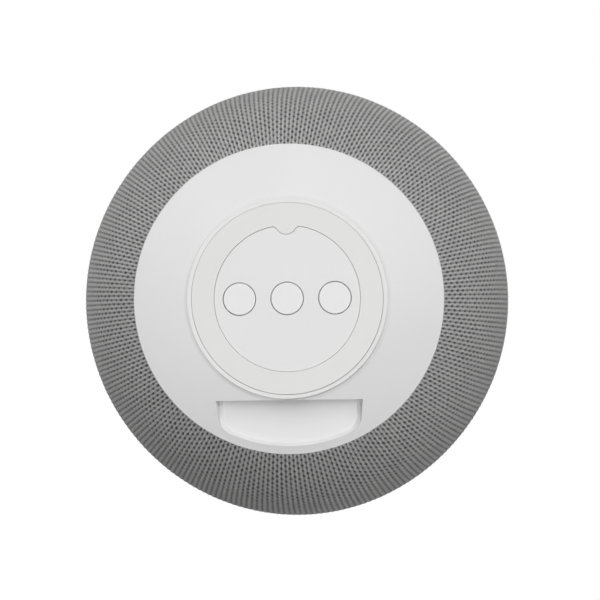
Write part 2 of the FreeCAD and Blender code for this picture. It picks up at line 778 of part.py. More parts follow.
def make_box():
    inner = "box_radius - box_wall"
    seat = "flange_radius + 0.3"
    front = turned("box_front_body", [
        ("baffle_opening", "baffle_back"),
        ("baffle_opening", "baffle_front"),
        (seat, "baffle_front"),
        (seat, "box_front"),
        ("box_radius - 0.8", "box_front"),
        ("box_radius", "box_front - 0.8"),
        ("box_radius", "box_joint"),
        (inner, "box_joint"),
        (inner, "baffle_back"),
    ])
    ear_spots = corner_spots("ear_circle")
    ears = [cylinder(f"front_ear_{i}", "ear_radius", "ear_length", x, y, "box_joint")
            for i, (x, y) in enumerate(ear_spots)]
    hollow = cylinder("front_hollow", inner, 40, 0, 0, "box_joint - 6")
    pilots = [cylinder(f"ear_pilot_{i}", "screw_pilot", 5, x, y, "box_joint - 1")
              for i, (x, y) in enumerate(ear_spots)]
    pilots += [cylinder(f"driver_pilot_{i}", 0.8, 3, x, y, "baffle_back - 0.5")
               for i, (x, y) in enumerate(corner_spots("flange_screw_circle"))]
    room = cut("front_room", hollow, cylinder("baffle_keep", "box_radius", 10, 0, 0, "baffle_back"))
    ears_cut = cut("front_ears", joined("front_ear_set", *ears), room)
    joined_front = joined("box_front_joined", front, ears_cut)
    subpart("enclosure_front", on_driver_axis(cut("box_front_cut", joined_front, *pilots)))

    seam = "box_joint - gasket_thickness"
    gasket_inner, gasket_outer = f"{inner} + 0.2", "box_radius - 0.2"
    subpart("enclosure_gasket", on_driver_axis(turned("box_gasket_body", [
        (gasket_inner, 0),
        (gasket_outer, 0),
        (gasket_outer, "gasket_thickness"),
        (gasket_inner, "gasket_thickness"),
    ]), seam))

    bend = 3
    rear = turned("box_rear_body", [
        (0, "box_back"),
        (f"box_radius - {bend}", "box_back", bend, -1),
        ("box_radius", f"box_back + {bend}"),
        ("box_radius", seam),
        (inner, seam),
        (inner, "box_back + box_wall"),
        (0, "box_back + box_wall"),
    ])
    rear_ears = [cylinder(f"rear_ear_{i}", "ear_radius", "ear_length", x, y, f"{seam} - ear_length")
                 for i, (x, y) in enumerate(ear_spots)]
    rear_room = cylinder("rear_room", inner, 20, 0, 0, f"{seam} - 10")
    posts = [cylinder(f"board_stand_{i}{k}", 2.2, "board_y + box_back + 3",
                      f"{i} * post_x", f"{k} * post_z", "-board_y")
             for i in (-1, 1) for k in (-1, 1)]
    brackets = [box(f"antenna_bracket_{i}", 4.5, 12, 16, 25.5 if i > 0 else -30.0, -8, -9)
                for i in (-1, 1)]
    extras = cut("rear_extras", joined("rear_extra_set", *rear_ears, *brackets), rear_room,
                 cylinder("rear_room_deep", inner, 12, 0, 0, -12))
    tools = [cylinder(f"rear_ear_hole_{i}", 1.2, 8, x, y, f"{seam} - 7")
             for i, (x, y) in enumerate(ear_spots)]
    tools += [cylinder(f"stand_pilot_{i}{k}", "screw_pilot", 4.6, f"{i} * post_x", f"{k} * post_z",
                       "-board_y - 0.5") for i in (-1, 1) for k in (-1, 1)]
    wire_hole = cylinder("wire_hole", 1.9, 8, 6, -23, -8, FORWARDS)
    body = joined("box_rear_joined", rear, extras, *posts)
    subpart("enclosure_rear", on_driver_axis(cut("box_rear_cut", body, wire_hole, *tools)))

    source = screw("ear_screw", 1.9, 1.2, 0.9, 9.5)
    spots = [(x, f"-({seam} - 7.2)", f"driver_z + {z}") for x, z in ear_spots]
    subpart("enclosure_screws", copies("ear_screw_set", source, spots, FORWARDS))

    grommet = turned("grommet_body", [
        (1.25, 0), (2.8, 0), (2.8, 0.7), (1.85, 0.7), (1.85, 3.4), (1.25, 3.4),
    ])
    subpart("wire_grommet", place(grommet, 6, 8, 14.85))


def make_driver():
    screw_spots = corner_spots("flange_screw_circle")

    def flange_holes(tag, start):
        return [cylinder(f"{tag}_hole_{i}", 1.1, 3, x, y, start)
                for i, (x, y) in enumerate(screw_spots)]

    basket = turned("basket_body", [
        ("flange_radius", "flange_front - 1"),
        ("flange_radius", "flange_front"),
        (19.5, "flange_front"),
        (18.0, 28.9),
        (14.6, 24.9),
        (8.0, 24.9),
        (8.0, 24.05),
        (15.0, 24.05),
        (19.0, 28.5),
        (20.4, "flange_front - 1"),
    ])
    windows = []
    for index in range(4):
        spin = Rotation(Vector(0, 0, 1), 90 * index + 45)
        window = box(f"basket_window_{index}", 14, 12, 6.2)
        window.Placement = Placement(spin.multVec(Vector(12, -6, 27.2)), spin)
        windows.append(window)
    subpart("driver_basket", on_driver_axis(
        cut("basket_cut", basket, *windows, *flange_holes("basket", 34.6))))

    gasket = turned("driver_gasket_body", [(21.0, 35.5), (24.0, 35.5), (24.0, 35.9), (21.0, 35.9)])
    subpart("driver_gasket", on_driver_axis(
        cut("driver_gasket_cut", gasket, *flange_holes("gasket", 34.6))))

    dome_inside = "(7.0^2 + 2.45^2) / (2 * 2.45)"
    dome_outside = "(7.5^2 + 2.9^2) / (2 * 2.9)"
    # Each outline runs round its section as (distance from the axis, distance forwards).
    ring_shapes = {
        "driver_top_plate": [(7.2, 21.0), (14.0, 21.0), (14.0, 24.0), (7.2, 24.0)],
        "driver_magnet": [(8.5, 14.0), (16.0, 14.0), (16.0, 21.0), (8.5, 21.0)],
        "driver_yoke": [(0, 11.0), (14.6, 11.0), (15.2, 11.6), (15.2, 14.0), (6.0, 14.0),
                        (6.0, 24.0), (0, 24.0)],
        "voice_coil": [("coil_radius", 20.4), ("coil_radius + 0.35", 20.4),
                       ("coil_radius + 0.35", 24.4), ("coil_radius", 24.4)],
        "coil_former": [("coil_radius - 0.15", 20.0), ("coil_radius", 20.0),
                        ("coil_radius", 30.2), ("coil_radius - 0.15", 30.2)],
        "speaker_cone": [("coil_radius + 0.02", "cone_front - 6.6"), ("cone_radius", "cone_front - 0.5"),
                         ("cone_radius", "cone_front"), ("coil_radius + 0.02", "cone_front - 6.0")],
        "dust_cap": [(0, 33.0, dome_inside, 1), (7.0, 30.55), (7.5, 30.55, dome_outside, -1),
                     (0, 33.45)],
        "spider": [(7.0, 26.3), (8.4, 26.3), (9.4, 25.8), (10.4, 26.3), (11.4, 26.8), (12.4, 26.3),
                   (13.4, 25.8), (14.4, 26.3), (15.6, 26.3), (15.6, 26.6), (14.4, 26.6), (13.4, 26.1),
                   (12.4, 26.6), (11.4, 27.1), (10.4, 26.6), (9.4, 26.1), (8.4, 26.6), (7.0, 26.6)],
        "surround": [(16.3, 36.0), (17.4, 36.0, 1.5, 1), (20.0, 36.95), (20.7, 36.95),
                     (20.7, 37.3), (20.1, 37.3, 1.85, -1), (17.0, 36.35), (16.3, 36.35)],
    }
    for name, outline in ring_shapes.items():
        subpart(name, on_driver_axis(turned(name + "_body", outline)))

    strip = box("terminal_strip", 9, 1.6, 5, -4.5, -22.2, 24.5)
    lugs = [box(f"terminal_lug_{i}", 2.2, 2.6, 0.6, i * 2.4 - 1.1, -24.0, 26.0) for i in (-1, 1)]
    subpart("driver_terminals", on_driver_axis(joined("terminal_joined", strip, *lugs)))

    source = screw("driver_screw", 1.6, 1.1, 0.75, 2.8)
    spots = [(x, "-flange_front - 1.12", f"driver_z + {z}") for x, z in screw_spots]
    back = Rotation(Vector(1, 0, 0), -90)
    subpart("driver_screws", copies("driver_screw_set", source, spots, back))


# ---------------------------------------------------------------- electronics


def make_main_board():
    rear = "board_y + board_thickness"
    plate = box("main_plate", "board_width", "board_thickness", "board_height",
                "-board_width / 2", "board_y", "driver_z - board_height / 2")
    spots = [(f"{i} * post_x", f"driver_z + {k} * post_z") for i in (-1, 1) for k in (-1, 1)]
    holes = [cylinder(f"main_hole_{n}", 1.2, 6, x, "board_y + 4", z, FORWARDS)
             for n, (x, z) in enumerate(spots)]
    subpart("main_board", cut("main_board_cut", plate, *holes))

    cans = [
        box("processor_can", 16, 2.0, 16, -17.5, rear, "driver_z + 2"),
        box("radio_can", 15, 1.8, 14, 2, rear, "driver_z + 3"),
    ]
    subpart("shield_cans", group("can_set", *cans))
    subpart("thermal_pad", box("pad_block", 14, f"sink_y - ({rear}) - 2", 14, -16.5, f"{rear} + 2",
                               "driver_z + 3"))
    caps = [cylinder(f"cap_{i}", 3.15, 6.8, x, f"{rear} + 6.8", "driver_z - 14", FORWARDS)
            for i, x in enumerate((-6.5, 1.0))]
    subpart("capacitors", group("cap_set", *caps))
    plugs = [
        box("power_plug", 6, 2.6, 5, -16, rear, "driver_z - 21"),
        box("speaker_plug", 6, 2.6, 5, 7, rear, "driver_z - 21"),
        box("flex_plug", 11, 2.0, 2.6, -5.5, rear, "driver_z + 19"),
        box("flex_plug_top", 11, 2.6, 1.6, -5.5, 14.8, "top_board_z - 1.6"),
    ]
    subpart("board_connectors", group("connector_set", *plugs))

    sheet_plate = box("sink_plate", 48, "sink_thickness", 42, -24, "sink_y", "driver_z - 21")
    window = box("sink_window", 24, 6, 15, -14, "sink_y - 2", "driver_z - 22")
    plug_room = box("sink_plug_room", 8, 6, 8, 6, "sink_y - 2", "driver_z - 22")
    lead_room = box("sink_lead_room", 9, 6, 9, -18, "sink_y - 2", "driver_z - 22")
    fins = [box(f"fin_{i}", 1.2, 3.8, 22, -17.6 + FIN_SPREAD * i / (FIN_COUNT - 1), "sink_y + 1",
                "driver_z - 4") for i in range(FIN_COUNT)]
    legs = [cylinder(f"sink_leg_{n}", 2.4, f"sink_y - ({rear}) + 0.2", x, "sink_y + 0.2", z, FORWARDS)
            for n, (x, z) in enumerate(spots)]
    leg_holes = [cylinder(f"sink_hole_{n}", 1.2, 8, x, "sink_y + 4", z, FORWARDS)
                 for n, (x, z) in enumerate(spots)]
    body = joined("sink_joined", sheet_plate, *fins, *legs)
    subpart("heat_spreader", cut("sink_cut", body, window, plug_room, lead_room, *leg_holes))

    source = screw("board_screw", 1.9, 1.2, 0.9, 8.0)
    screw_spots = [(x, "sink_y + sink_thickness + 1.22", z) for x, z in spots]
    subpart("board_screws", copies("board_screw_set", source, screw_spots, FORWARDS))

    boards = [box(f"antenna_board_{i}", 0.8, 11, 15, 30.02 if i > 0 else -30.82, 0.5,
                  "driver_z - 7.5") for i in (-1, 1)]
    subpart("antennas", group("antenna_set", *boards))


def make_leads():
    wire_radius = 0.5
    pair = []
    for index, x in enumerate((5.35, 6.65)):
        side = 1 if index else -1
        lug_x = side * 2.4
        route = [Vector(lug_x, -25.95, 19.8), Vector(lug_x, -21.0, 19.8), Vector(x - 2, -10.0, 20.2),
                 Vector(x, 2.0, 21.2), Vector(x, 8.0, 20.6), Vector(x, 8.0, 15.0),
                 Vector(x + 0.6, 11.0, 13.6), Vector(x + 2.2, 16.0, 13.7), Vector(x + 3.4, 20.6, 16.6),
                 Vector(x + 3.4, 20.7, 21.95)]
        section = wire_section(route[0], Vector(0, 1, 0), wire_radius)
        pair.append(swept(f"speaker_lead_{index}", route, section))
    subpart("speaker_leads", group("speaker_lead_set", *pair))

    power_radius = 0.8
    power = [Vector(-5.5, 19.6, 6.9), Vector(-7.2, 20.6, 9.4), Vector(-11.0, 21.6, 13.0),
             Vector(-13.0, 20.9, 17.0), Vector(-13.0, 20.7, 21.95)]
    run = (power[1] - power[0]).normalize()
    subpart("power_lead", swept("power_lead_sweep", power, wire_section(power[0], run, power_radius)))

    flex = [Vector(0, 20.4, 64.7), Vector(0, 20.4, 69.5), Vector(0, 18.4, 74.4), Vector(0, 16.2, 77.6),
            Vector(0, 16.1, 80.3)]
    half, skin = 4.0, 0.15
    corners = [flex[0] + Vector(x, y, 0)
               for x, y in ((-half, -skin), (half, -skin), (half, skin), (-half, skin))]
    section = Part.makePolygon(corners + corners[:1])
    subpart("ribbon_cable", swept("ribbon_sweep", flex, section))


# ---------------------------------------------------------------- build, check and write

make_base_cover()
make_foot_ring()
make_plugs()
make_base_screws()
make_usb()
make_chassis()
make_shell_frame()
make_fabric_sleeve()
make_top_frame()
make_control_plate()
make_light_ring()
make_buttons()
make_top_board()
make_box()
make_driver()
make_main_board()
make_leads()

doc.recompute()

faults = []
for thing in doc.Objects:
    if "Invalid" in thing.State or "Error" in thing.State:
        faults.append(f"{thing.Name} ({thing.Label}): {thing.State}")
for thing in subparts:
    shape = thing.Shape
    if shape.isNull() or not shape.isValid() or not shape.Solids:
        faults.append(f"{thing.Label}: null, invalid or without a solid")
if faults:
    raise SystemExit("not written:\n" + "\n".join(faults))

os.makedirs("parts", exist_ok=True)
for thing in subparts:
    thing.Shape.exportStep(os.path.join("parts", thing.Label + ".step"))
print(f"{len(subparts)} sub-parts written")
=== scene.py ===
import math

import bpy
import numpy as np
from mathutils import Matrix, Vector


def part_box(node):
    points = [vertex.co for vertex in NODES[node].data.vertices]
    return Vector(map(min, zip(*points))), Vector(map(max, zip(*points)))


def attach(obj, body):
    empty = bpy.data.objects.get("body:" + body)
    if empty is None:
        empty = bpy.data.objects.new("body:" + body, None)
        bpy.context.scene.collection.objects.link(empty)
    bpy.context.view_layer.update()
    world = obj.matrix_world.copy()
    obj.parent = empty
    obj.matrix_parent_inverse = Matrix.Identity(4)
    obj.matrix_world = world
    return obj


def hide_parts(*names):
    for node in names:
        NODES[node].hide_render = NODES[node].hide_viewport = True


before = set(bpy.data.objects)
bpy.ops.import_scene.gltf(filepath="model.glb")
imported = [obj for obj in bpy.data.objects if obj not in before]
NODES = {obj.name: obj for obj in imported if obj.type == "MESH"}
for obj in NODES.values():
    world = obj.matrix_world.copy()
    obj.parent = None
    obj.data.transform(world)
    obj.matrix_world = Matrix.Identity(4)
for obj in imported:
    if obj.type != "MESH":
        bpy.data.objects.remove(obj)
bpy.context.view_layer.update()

ROOT = "root"
MM = 0.001


def half_width(node, places):
    """Half of a node's width, rounded to metres with this many decimal places."""
    low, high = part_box(node)
    return round((high.x - low.x) / 2, places)


# The ball, read from the frame.
BALL_RADIUS = half_width("fabric_sleeve", 3)
BASE_RADIUS = half_width("base_cover", 4)
HEM_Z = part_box("fabric_sleeve")[0].z
BALL_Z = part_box("control_plate")[1].z - BALL_RADIUS
CENTRE = Vector((0, 0, BALL_Z))
TOP_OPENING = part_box("light_ring")[1].x + 0.2 * MM

# The knit's mesh: wales run from pole to pole, and each wale has a row of small holes, half a row
# out of step with the holes of the wales beside it.
WALES = 264
ROW_PITCH = 1.94 * MM
STEPS_PER_WALE = 2
STEPS_PER_ROW = 4
HOLE_PROFILE = (0.13 * MM, 0.42 * MM, 0.84 * MM, 0.42 * MM)  # how deep, step by step along a wale
STRAND_SINK = 0.03 * MM
STRAND_SWAY = 0.14  # in wales
YARN_UNEVEN = 0.04 * MM
ROW_CROWD, ROW_CROWD_TURN = 0.07, math.radians(15)
WALE_DRIFT, WALE_LEAN = 1.9, 1.1  # in wales
SLACK = 0.7 * MM  # how far the knit bulges at the front and back
HEM_FOLD = 0.9 * MM
KNIT_SEED = 11
MARK_OFFSET = 400.0  # whole wales and rows added to the marks, so that none is below zero

# The knit's yarn: its colours, with painted shade in the grooves and holes, and how far holes and
# grooves reach, in wales and rows.
HOLE_HALF = (0.28, 0.26)
HOLE_EDGE = (0.30, 1.25)
GROOVE_SPAN = (0.08, 0.38)
PLIES_PER_ROW, PLIES_PER_WALE = 4.0, 2.0
YARN_LIGHT = (0.56, 0.56, 0.552)
YARN_DARK = (0.36, 0.36, 0.36)
# Paler plies: partly the yarn's own pale ply, partly a painted highlight for glints on the strands.
PALE_PLY_AND_GLINT = (0.68, 0.68, 0.672)
# Painted shade in the sunken groove along the middle of each wale, between the holes.
GROOVE_PAINTED_SHADE = (0.27, 0.27, 0.27)
# Painted shade at the bottom of each hole.
HOLE_PAINTED_SHADE = (0.10, 0.10, 0.102)

# The signs on the buttons: their height and depth, and the half width of a line, in millimetres.
SIGN_PROUD, SIGN_ROOT = 0.04 * MM, 0.15 * MM
SIGN_SOFT_EDGE = 0.02 * MM
LINE_HALF = 0.19
FINE_LINE_HALF = LINE_HALF * 0.8
BUTTON_TOP_RADIUS = 3.7 * MM

# The picture: the camera looks up at the base, tilted by about 3 degrees.
CAMERA_DISTANCE = 0.400
CAMERA_SIDE = Vector((0.0505, 0.0127, -1)).normalized()
CAMERA_ROLL = math.radians(0.9)
CAMERA_LENS, SENSOR_WIDTH = 100.7, 36.0
CAMERA_CLIP = 0.01
IMAGE_SHIFT = (0.00170, 0.00048)
LAMP_UP = Vector((0.1, 1, 0.05))
AMBIENT, BACKDROP = 0.132, 1.0

# The floor: half its side, how far it lies under the foot, and how it glows far from the lamps.
FLOOR_HALF = 3.0
FLOOR_DROP = 0.05 * MM
GLOW_SPAN = (0.3, 2.2)
GLOW = 0.6


# ---------------------------------------------------------------- node helpers


def new_material(name):
    material = bpy.data.materials.new(name)
    material.use_nodes = True
    tree = material.node_tree
    shader = tree.nodes["Principled BSDF"]
    return material, tree, shader


def add(tree, kind, **settings):
    node = tree.nodes.new(kind)
    for name, value in settings.items():
        setattr(node, name, value)
    return node


def feed(tree, socket, value):
    if isinstance(value, bpy.types.NodeSocket):
        tree.links.new(value, socket)
    else:
        socket.default_value = value


def calc(tree, operation, first, second=None, third=None):
    node = add(tree, "ShaderNodeMath", operation=operation)
    for socket, value in zip(node.inputs, (first, second, third)):
        if value is not None:
            feed(tree, socket, value)
    return node.outputs[0]


def smooth(tree, value, low, high, to_low=0.0, to_high=1.0):
    """A soft step from to_low to to_high as the value goes from low to high."""
    node = add(tree, "ShaderNodeMapRange", interpolation_type="SMOOTHSTEP")
    feed(tree, node.inputs["Value"], value)
    ends = {"From Min": low, "From Max": high, "To Min": to_low, "To Max": to_high}
    for name, number in ends.items():
        feed(tree, node.inputs[name], number)
    return node.outputs["Result"]


def blend_colours(tree, share, first, second):
    node = add(tree, "ShaderNodeMix", data_type="RGBA")
    feed(tree, node.inputs["Factor"], share)
    for name, colour in (("A", first), ("B", second)):
        plain = not isinstance(colour, bpy.types.NodeSocket)
        feed(tree, node.inputs[name], (*colour, 1) if plain else colour)
    return node.outputs["Result"]


def noise(tree, scale, detail=3.0, roughness=0.5, stretch=None):
    """Noise fixed to the object, its scale in features per metre."""
    place = add(tree, "ShaderNodeTexCoord").outputs["Object"]
    if stretch:
        mapping = add(tree, "ShaderNodeMapping")
        mapping.inputs["Scale"].default_value = stretch
        tree.links.new(place, mapping.inputs["Vector"])
        place = mapping.outputs["Vector"]
    node = add(tree, "ShaderNodeTexNoise")
    tree.links.new(place, node.inputs["Vector"])
    node.inputs["Scale"].default_value = scale
    node.inputs["Detail"].default_value = detail
    node.inputs["Roughness"].default_value = roughness
    return node.outputs["Fac"]


def bump(tree, shader, height, distance, strength):
    node = add(tree, "ShaderNodeBump")
    node.inputs["Distance"].default_value = distance
    node.inputs["Strength"].default_value = strength
    tree.links.new(height, node.inputs["Height"])
    tree.links.new(node.outputs["Normal"], shader.inputs["Normal"])


def moulded(name, colour, roughness, grain, depth=0.02 * MM, mottle=0.03, **sockets):
    """Moulded plastic or rubber: spark-eroded grain, faint flow mottling, uneven gloss."""
    material, tree, shader = new_material(name)
    soft = noise(tree, 38.0, 4.0)
    fine = noise(tree, grain, 2.0, 0.6)
    darker = tuple(c * (1 - mottle) for c in colour)
    lighter = tuple(min(1.0, c * (1 + mottle * 0.6)) for c in colour)
    colours = blend_colours(tree, smooth(tree, soft, 0.3, 0.7), darker, lighter)
    tree.links.new(colours, shader.inputs["Base Color"])
    gloss = calc(tree, "ADD", smooth(tree, soft, 0.25, 0.75, -0.06, 0.06),
                 smooth(tree, fine, 0.3, 0.7, roughness - 0.03, roughness + 0.03))
    tree.links.new(gloss, shader.inputs["Roughness"])
    bump(tree, shader, fine, depth, 0.5)
    for socket, value in sockets.items():
        shader.inputs[socket.replace("_", " ")].default_value = value
    return material


def metal(name, colour, roughness, brushed):
    """Drawn or plated metal: fine streaks along the draw and slight tarnish."""
    material, tree, shader = new_material(name)
    shader.inputs["Metallic"].default_value = 1.0
    streaks = noise(tree, 260.0, 3.0, 0.6, brushed)
    tarnish = noise(tree, 120.0, 4.0)
    dull = tuple(c * 0.82 for c in colour)
    tree.links.new(blend_colours(tree, smooth(tree, tarnish, 0.35, 0.7), dull, colour),
                   shader.inputs["Base Color"])
    tree.links.new(smooth(tree, streaks, 0.3, 0.7, roughness - 0.08, roughness + 0.1),
                   shader.inputs["Roughness"])
    bump(tree, shader, streaks, 0.01 * MM, 0.4)
    return material


def laminate(name):
    """Circuit board: green mask over a faint pattern of traces."""
    material, tree, shader = new_material(name)
    place = add(tree, "ShaderNodeTexCoord").outputs["Object"]
    bricks = add(tree, "ShaderNodeTexBrick", offset=0.37, squash=0.7)
    tree.links.new(place, bricks.inputs["Vector"])
    bricks.inputs["Scale"].default_value = 420.0
    bricks.inputs["Mortar Size"].default_value = 0.06
    traces = bricks.outputs["Fac"]
    cloud = noise(tree, 90.0)
    mask = blend_colours(tree, smooth(tree, cloud, 0.3, 0.7), (0.012, 0.10, 0.045),
                         (0.02, 0.15, 0.07))
    tree.links.new(blend_colours(tree, traces, mask, (0.05, 0.22, 0.10)),
                   shader.inputs["Base Color"])
    tree.links.new(smooth(tree, cloud, 0.2, 0.8, 0.25, 0.36), shader.inputs["Roughness"])
    bump(tree, shader, traces, 0.03 * MM, 0.5)
    return material


def contact_material():
    """The socket's tongue: black plastic with a row of narrow gold contacts."""
    material, tree, shader = new_material("tongue_contacts")
    split = add(tree, "ShaderNodeSeparateXYZ")
    tree.links.new(add(tree, "ShaderNodeTexCoord").outputs["Object"], split.inputs[0])
    pitch = 0.5 * MM
    strip = calc(tree, "PINGPONG", split.outputs[0], pitch / 2)
    gold = smooth(tree, strip, 0.11 * MM, 0.13 * MM, 1.0, 0.0)
    worn = noise(tree, 2500.0, 3.0)
    plating = blend_colours(tree, worn, (0.85, 0.60, 0.22), (0.95, 0.72, 0.33))
    tree.links.new(blend_colours(tree, gold, (0.02, 0.02, 0.02), plating),
                   shader.inputs["Base Color"])
    tree.links.new(gold, shader.inputs["Metallic"])
    tree.links.new(smooth(tree, worn, 0.3, 0.7, 0.25, 0.45), shader.inputs["Roughness"])
    bump(tree, shader, gold, 0.03 * MM, 0.6)
    return material


# ---------------------------------------------------------------- the knit


def knit_material():
    """Grey marled yarn: proud strands, painted shade in the groove between them, and a hole in each
    row with painted shade at its bottom.
    """
    material, tree, shader = new_material("knit_yarn")
    place = add(tree, "ShaderNodeUVMap", uv_map="wale_row").outputs[0]
    split = add(tree, "ShaderNodeSeparateXYZ")
    tree.links.new(place, split.inputs[0])
    wale, row = split.outputs[0], split.outputs[1]
    odd = calc(tree, "MODULO", calc(tree, "FLOOR", wale), 2.0)
    row = calc(tree, "MULTIPLY_ADD", odd, 0.5, row)
    in_wale = calc(tree, "ABSOLUTE", calc(tree, "SUBTRACT", calc(tree, "FRACT", wale), 0.5))
    in_row = calc(tree, "ABSOLUTE", calc(tree, "SUBTRACT", calc(tree, "FRACT", row), 0.5))
    ragged = calc(tree, "SUBTRACT", noise(tree, 900.0, 2.0, 0.6), 0.5)
    uneven = calc(tree, "SUBTRACT", noise(tree, 420.0, 2.0, 0.5), 0.5)

    groove = smooth(tree, calc(tree, "MULTIPLY_ADD", ragged, 0.15, in_wale), *GROOVE_SPAN)
    far = calc(tree, "ADD", calc(tree, "POWER", calc(tree, "DIVIDE", in_wale, HOLE_HALF[0]), 2.0),
               calc(tree, "POWER", calc(tree, "DIVIDE", in_row, HOLE_HALF[1]), 2.0))
    far = calc(tree, "MULTIPLY_ADD", uneven, 1.6, calc(tree, "MULTIPLY_ADD", ragged, 0.6, far))
    solid = smooth(tree, far, *HOLE_EDGE)

    # Each strand is a two-ply twist that slants across the wale.
    slant = calc(tree, "ADD", calc(tree, "MULTIPLY", row, PLIES_PER_ROW),
                 calc(tree, "MULTIPLY", wale, PLIES_PER_WALE))
    twist = calc(tree, "SINE", calc(tree, "MULTIPLY", slant, 2 * math.pi))
    strands = smooth(tree, twist, -1.0, 1.0)
    marl = noise(tree, 1700.0, 3.0, 0.7)
    patch = noise(tree, 70.0, 3.0)

    # The speckle of darker and lighter fibres is the yarn's own marl, its contrast raised to also
    # stand for painted glints.
    fibre = blend_colours(tree, smooth(tree, marl, 0.35, 0.65), YARN_DARK, YARN_LIGHT)
    # Paler on each twist's crest: partly the yarn's own pale ply, partly a painted highlight for
    # glints on the strands.
    fibre = blend_colours(tree, calc(tree, "MULTIPLY", strands, 0.3), fibre, PALE_PLY_AND_GLINT)
    fibre = blend_colours(tree, smooth(tree, patch, 0.3, 0.7, 0.0, 0.14), fibre, YARN_DARK)
    # Painted shade in the sunken groove and its bars, between the strands.
    fibre = blend_colours(tree, groove, GROOVE_PAINTED_SHADE, fibre)
    # Painted shade at the bottom of each hole, where the yarn is hidden.
    tree.links.new(blend_colours(tree, solid, HOLE_PAINTED_SHADE, fibre), shader.inputs["Base Color"])
    tree.links.new(smooth(tree, marl, 0.2, 0.8, 0.78, 0.95), shader.inputs["Roughness"])
    shader.inputs["Sheen Weight"].default_value = 0.05
    shader.inputs["Sheen Roughness"].default_value = 0.5
    shader.inputs["Specular IOR Level"].default_value = 0.2
    height = calc(tree, "MULTIPLY_ADD", strands, 0.25, calc(tree, "ADD", solid, groove))
    height = calc(tree, "MULTIPLY_ADD", marl, 0.35, height)
    bump(tree, shader, height, 0.08 * MM, 0.8)
    return material


def sleeve_ring(mark, count, low, high, rng):
    """One level of the knit: strands stand proud and weave between the sunken holes."""
    columns = np.arange(WALES * STEPS_PER_WALE)
    wale = columns // STEPS_PER_WALE
    middle = columns % STEPS_PER_WALE == 1
    phase = (mark + (wale % 2) * STEPS_PER_ROW // 2) % STEPS_PER_ROW
    turn = 2 * np.pi * columns / len(columns)
    share = mark / count
    bow = math.sin(math.pi * share)

    # The sleeve was pulled on unevenly: rows crowd on one side, wales drift and lean a little.
    crowd = -ROW_CROWD * np.cos(turn - ROW_CROWD_TURN)
    level = low + (high - low) * (share + crowd * bow / math.pi)
    drift = -WALE_DRIFT * np.cos(turn) - WALE_LEAN * bow * np.sin(2 * turn)
    # A strand is pushed aside by the hole on its own level.
    sway = np.where(middle, 0, STRAND_SWAY * np.cos(2 * np.pi * phase / STEPS_PER_ROW))
    angle = 2 * np.pi * (columns / STEPS_PER_WALE + sway + drift) / WALES

    sink = np.where(middle, np.array(HOLE_PROFILE)[phase], STRAND_SINK)
    sink = sink + rng.uniform(0, YARN_UNEVEN, len(columns))
    radius = BALL_RADIUS - sink + SLACK * np.sin(angle) ** 4 * np.cos(level) ** 2
    return np.stack([radius * np.cos(level) * np.cos(angle),
                     radius * np.cos(level) * np.sin(angle),
                     BALL_Z + radius * np.sin(level)], axis=1)


def make_sleeve():
    """The knitted skin: a relief mesh with two columns a wale, turned in at both of its edges."""
    low = math.asin((HEM_Z - BALL_Z) / BALL_RADIUS)
    high = math.acos(TOP_OPENING / BALL_RADIUS)
    length = BALL_RADIUS * (high - low)
    count = STEPS_PER_ROW * round(length / ROW_PITCH)
    rng = np.random.default_rng(KNIT_SEED)
    marks = list(range(count + 1))
    rings = [sleeve_ring(mark, count, low, high, rng) for mark in marks]

    hem, mouth = rings[0].copy(), rings[-1].copy()
    hem[:, :2] *= 1 - HEM_FOLD / BASE_RADIUS
    hem[:, 2] = HEM_Z
    mouth[:, :2] *= TOP_OPENING / np.linalg.norm(mouth[:, :2], axis=1)[:, None]
    mouth[:, 2] -= HEM_FOLD
    rings = [hem, *rings, mouth]
    marks = [-1, *marks, count + 1]

    columns = WALES * STEPS_PER_WALE
    faces, spots = [], []
    for r in range(len(rings) - 1):
        for c in range(columns):
            d = (c + 1) % columns
            this, above = r * columns, (r + 1) * columns
            faces.append((this + c, this + d, above + d, above + c))
            left, right = c / STEPS_PER_WALE, (c + 1) / STEPS_PER_WALE
            bottom, top = marks[r] / STEPS_PER_ROW, marks[r + 1] / STEPS_PER_ROW
            spots += [left, bottom, right, bottom, right, top, left, top]
    mesh = bpy.data.meshes.new("knit_sleeve")
    mesh.from_pydata(np.concatenate(rings).tolist(), [], faces)
    spots = np.array(spots).reshape(-1, 2) + MARK_OFFSET
    mesh.uv_layers.new(name="wale_row").data.foreach_set("uv", spots.ravel())
    mesh.shade_smooth()
    mesh.materials.append(knit_material())
    sleeve = bpy.data.objects.new("knit_sleeve", mesh)
    bpy.context.scene.collection.objects.link(sleeve)
    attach(sleeve, ROOT)
    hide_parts("fabric_sleeve")


# ---------------------------------------------------------------- signs on the buttons


def disc_outline(radius, middle=(0, 0), start=0.0, end=2 * math.pi, steps=32):
    """Points on a circle's arc, anticlockwise; a whole circle leaves its last point out."""
    last = steps if end - start > 2 * math.pi - 0.01 else steps - 1
    angles = [start + (end - start) * k / last for k in range(steps)]
    return [(middle[0] + radius * math.cos(a), middle[1] + radius * math.sin(a)) for a in angles]


def bar_outline(start, end, half):
    """A round-ended bar between two points."""
    lean = math.atan2(end[1] - start[1], end[0] - start[0])
    quarter = math.pi / 2
    return (disc_outline(half, end, lean - quarter, lean + quarter, 9)
            + disc_outline(half, start, lean + quarter, lean + 3 * quarter, 9))


def plus_outline(reach, half):
    quarter = [(reach, -half), (reach, half), (half, half)]
    corners = []
    for turn in range(4):
        spin = turn * math.pi / 2
        cosine, sine = math.cos(spin), math.sin(spin)
        corners += [(x * cosine - y * sine, x * sine + y * cosine) for x, y in quarter]
    return corners


def cup_outline(radius, half):
    """The half ring that holds a microphone sign's capsule."""
    outer = disc_outline(radius + half, (0, 0), math.pi, 2 * math.pi, 17)
    inner = disc_outline(radius - half, (0, 0), math.pi, 2 * math.pi, 17)
    return outer + inner[::-1]


